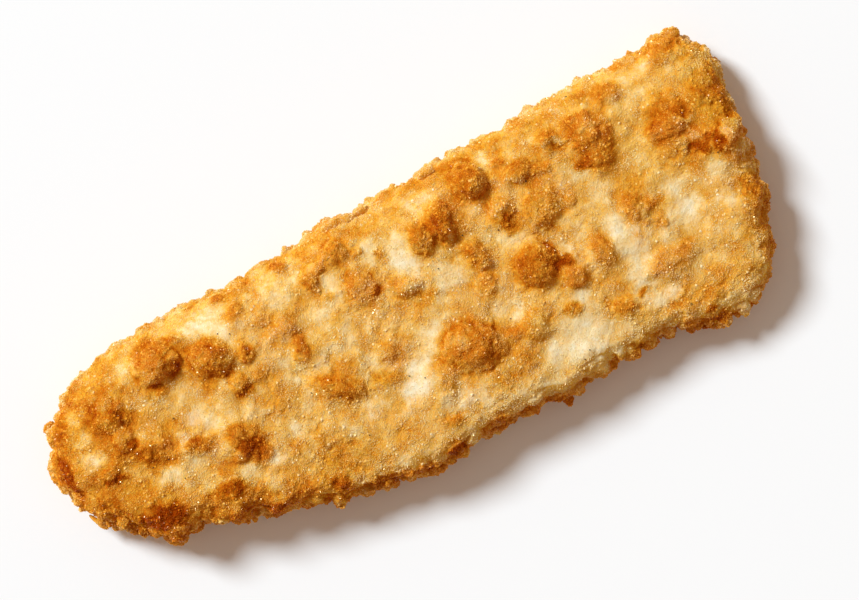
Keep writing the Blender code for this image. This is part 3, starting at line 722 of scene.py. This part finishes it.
def scatter(name, crust, shapes, per_mm2, sizes, lift, seed, finish, where):
    """One piece of many crumbs: points over the crust, a crumb on each, all made real mesh."""
    piece = bpy.data.objects.new(name, crust.data.copy())
    bpy.context.scene.collection.objects.link(piece)
    tree = bpy.data.node_groups.new(name + "_scatter", "GeometryNodeTree")
    tree.interface.new_socket("Geometry", in_out="INPUT", socket_type="NodeSocketGeometry")
    tree.interface.new_socket("Geometry", in_out="OUTPUT", socket_type="NodeSocketGeometry")

    def add(kind, **settings):
        node = tree.nodes.new(kind)
        for key, value in settings.items():
            setattr(node, key, value)
        return node

    def link(a, b):
        tree.links.new(a, b)

    start, end = add("NodeGroupInput"), add("NodeGroupOutput")
    points = add("GeometryNodeDistributePointsOnFaces", distribute_method="RANDOM")
    points.inputs["Seed"].default_value = seed
    points.use_legacy_normal = False
    density = add("GeometryNodeInputNamedAttribute", data_type="FLOAT")
    density.inputs["Name"].default_value = where
    per_area = add("ShaderNodeMath", operation="MULTIPLY")
    per_area.inputs[1].default_value = per_mm2 / MM**2
    link(density.outputs["Attribute"], per_area.inputs[0])
    link(start.outputs[0], points.inputs["Mesh"])
    link(per_area.outputs[0], points.inputs["Density"])
    size = add("FunctionNodeRandomValue", data_type="FLOAT")
    size.inputs[2].default_value = sizes[0] * MM
    size.inputs[3].default_value = sizes[1] * MM
    size.inputs["Seed"].default_value = seed + 1
    tip = add("FunctionNodeRandomValue", data_type="FLOAT_VECTOR")
    tip.inputs[0].default_value = (-TIP, -TIP, 0)
    tip.inputs[1].default_value = (TIP, TIP, math.tau)
    tip.inputs["Seed"].default_value = seed + 2
    turn = add("FunctionNodeRotateRotation", rotation_space="LOCAL")
    link(points.outputs["Rotation"], turn.inputs[0])
    link(tip.outputs[0], turn.inputs[1])
    chance = add("FunctionNodeRandomValue", data_type="FLOAT")
    chance.inputs["Seed"].default_value = seed + 3
    stored = add("GeometryNodeStoreNamedAttribute", data_type="FLOAT", domain="POINT")
    stored.inputs["Name"].default_value = "chance"
    link(points.outputs["Points"], stored.inputs["Geometry"])
    link(chance.outputs[1], stored.inputs["Value"])
    moved = add("GeometryNodeSetPosition")
    raised = add("ShaderNodeVectorMath", operation="SCALE")
    link(points.outputs["Normal"], raised.inputs[0])
    raised.inputs["Scale"].default_value = lift * MM
    link(stored.outputs[0], moved.inputs["Geometry"])
    link(raised.outputs[0], moved.inputs["Offset"])
    kinds = add("GeometryNodeCollectionInfo")
    kinds.inputs["Collection"].default_value = shapes
    kinds.inputs["Separate Children"].default_value = True
    kinds.inputs["Reset Children"].default_value = True
    placed = add("GeometryNodeInstanceOnPoints")
    placed.inputs["Pick Instance"].default_value = True
    link(moved.outputs[0], placed.inputs["Points"])
    link(kinds.outputs[0], placed.inputs["Instance"])
    link(turn.outputs[0], placed.inputs["Rotation"])
    link(size.outputs[1], placed.inputs["Scale"])
    real = add("GeometryNodeRealizeInstances")
    link(placed.outputs[0], real.inputs[0])
    link(real.outputs[0], end.inputs[0])
    finish_with(piece, "NODES", node_group=tree)
    at = points_of(piece)
    at[:, 2] = np.maximum(at[:, 2], 0.0)
    place_points(piece, at)
    piece.data.materials.clear()
    piece.data.materials.append(finish)
    for face in piece.data.polygons:
        face.use_smooth = False
        face.material_index = 0
    return piece


def discard(shapes):
    """Removes the patterns once their crumbs are real mesh."""
    for shape in list(shapes.objects):
        bpy.data.objects.remove(shape)
    bpy.data.collections.remove(shapes)


def pepper(crust):
    """Small dark specks lying on the crust."""
    at = points_of(crust)
    at = at[normals_of(crust)[:, 2] > 0.3]
    rng = np.random.default_rng(9)
    specks = []
    for x, y in SPECKS:
        nearest = at[np.argmin(np.hypot(at[:, 0] - x * MM, at[:, 1] - y * MM))]
        bpy.ops.mesh.primitive_ico_sphere_add(subdivisions=1, radius=rng.uniform(*SPECK_SIZES) * MM,
                                              location=nearest + (0, 0, SPECK_LIFT * MM))
        specks.append(bpy.context.object)
    select_only(specks[0])
    for speck in specks:
        speck.select_set(True)
    bpy.ops.object.join()
    piece = bpy.context.object
    bpy.ops.object.transform_apply(location=True, rotation=True, scale=True)
    piece.name = "pepper_specks"
    piece.data.materials.append(speck_finish())
    return piece


# ---------------------------------------------------------------- studio

FLOOR_RADIUS = 3.0
FLOOR_GREY = (0.9, 0.9, 0.9, 1)
KEY_TURN, KEY_HEIGHT = math.radians(120), math.radians(42)
KEY_DISTANCE, KEY_WIDTH, KEY_POWER = 12.0, 3.88, 1860.0
KEY_COLOUR = (0.836, 0.932, 1.0)
FILL_COLOUR = (0.37, 0.285, 0.225, 1)  # light from all round
BACKDROP = (0.92, 0.92, 0.92, 1)  # what shows past the floor
LENS, SENSOR = 180.0, 36.0  # in millimetres
EYE_X, EYE_Y, EYE_HEIGHT = 5.46 * MM, 2.90 * MM, 0.912
EYE_TURN = math.radians(-27.5)


def studio():
    """A pale floor, one large soft lamp from the upper left, and an even fill."""
    bpy.ops.mesh.primitive_circle_add(vertices=96, radius=FLOOR_RADIUS, fill_type="NGON")
    floor = bpy.context.object
    floor.name = "floor"
    n = Nodes("pale_floor")
    n.shader.inputs["Base Color"].default_value = FLOOR_GREY
    n.shader.inputs["Roughness"].default_value = 0.9
    n.shader.inputs["Specular IOR Level"].default_value = 0.0
    floor.data.materials.append(n.material)

    lamp = bpy.data.lights.new("softbox", "AREA")
    lamp.shape = "DISK"
    lamp.size = KEY_WIDTH
    lamp.energy = KEY_POWER
    lamp.color = KEY_COLOUR
    key = bpy.data.objects.new("softbox", lamp)
    bpy.context.scene.collection.objects.link(key)
    way = Vector((math.cos(KEY_TURN) * math.cos(KEY_HEIGHT), math.sin(KEY_TURN) * math.cos(KEY_HEIGHT),
                  math.sin(KEY_HEIGHT)))
    key.location = way * KEY_DISTANCE
    key.rotation_euler = way.to_track_quat("Z", "Y").to_euler()

    world = bpy.data.worlds.new("studio")
    bpy.context.scene.world = world
    world.use_nodes = True
    tree = world.node_tree
    fill = tree.nodes["Background"]
    fill.inputs["Color"].default_value = FILL_COLOUR
    seen = tree.nodes.new("ShaderNodeBackground")
    seen.inputs["Color"].default_value = BACKDROP
    path = tree.nodes.new("ShaderNodeLightPath")
    mix = tree.nodes.new("ShaderNodeMixShader")
    tree.links.new(path.outputs["Is Camera Ray"], mix.inputs[0])
    tree.links.new(fill.outputs[0], mix.inputs[1])
    tree.links.new(seen.outputs[0], mix.inputs[2])
    tree.links.new(mix.outputs[0], tree.nodes["World Output"].inputs[0])
    bpy.context.scene.view_settings.view_transform = "Standard"


def camera():
    """Straight down on the fillet, turned so that its wide end points up to the right."""
    lens = bpy.data.cameras.new("camera")
    lens.sensor_width = SENSOR
    lens.lens = LENS
    eye = bpy.data.objects.new("camera", lens)
    bpy.context.scene.collection.objects.link(eye)
    eye.location = (EYE_X, EYE_Y, EYE_HEIGHT)
    eye.rotation_euler = (0, 0, EYE_TURN)
    bpy.context.scene.camera = eye


camera()
studio()
crust = sculpted_crust()
add_lobes(crust)
crust.data.materials.append(crust_finish())
pieces = [crust, pepper(crust)]
patterns = {name: crumb_shapes(name, faces, flat, seed) for name, faces, flat, seed in SHAPES}
for name, finish, kind, per_mm2, reach, lift, seed, shift, gloss, where in STREWN:
    pieces.append(scatter(name, crust, patterns[kind], per_mm2, reach, lift, seed,
                          crumb_finish(finish, shift, gloss), where))
for shapes in patterns.values():
    discard(shapes)
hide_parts("fillet")
for piece in pieces:
    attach(piece, "root")
